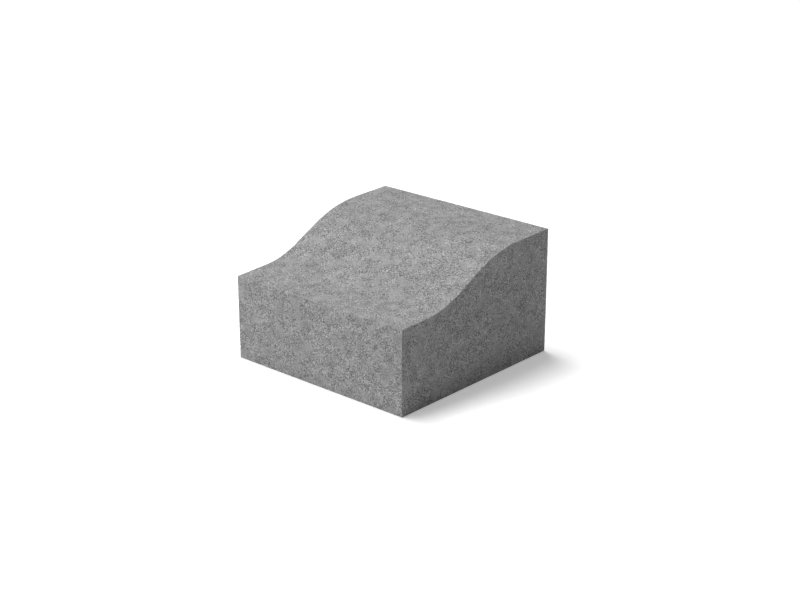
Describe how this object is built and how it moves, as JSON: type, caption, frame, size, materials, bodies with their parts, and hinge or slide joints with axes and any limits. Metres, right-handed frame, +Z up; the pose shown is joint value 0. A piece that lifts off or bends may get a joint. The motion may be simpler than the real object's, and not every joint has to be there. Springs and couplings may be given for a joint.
{
  "type": "concrete kerb stone",
  "caption": "Square concrete kerb stone whose top rises in a smooth wave from a low front face to a high back face, for a ramped crossing or raised plateau.",
  "frame": {"origin": "centre of the footprint, on the level ground that the stone lies on", "axes": "+Z up, X along the kerb line, -Y towards the low front face (road side), +Y towards the high back face (footway side)"},
  "size_m": [0.5, 0.5, 0.3],
  "materials": {
    "cast_concrete": "matt grey cast concrete with a fine speckled grain and soft cloudy patches"
  },
  "bodies": {
    "root": {"kerb_stone": "cast_concrete"}
  },
  "joints": []
}
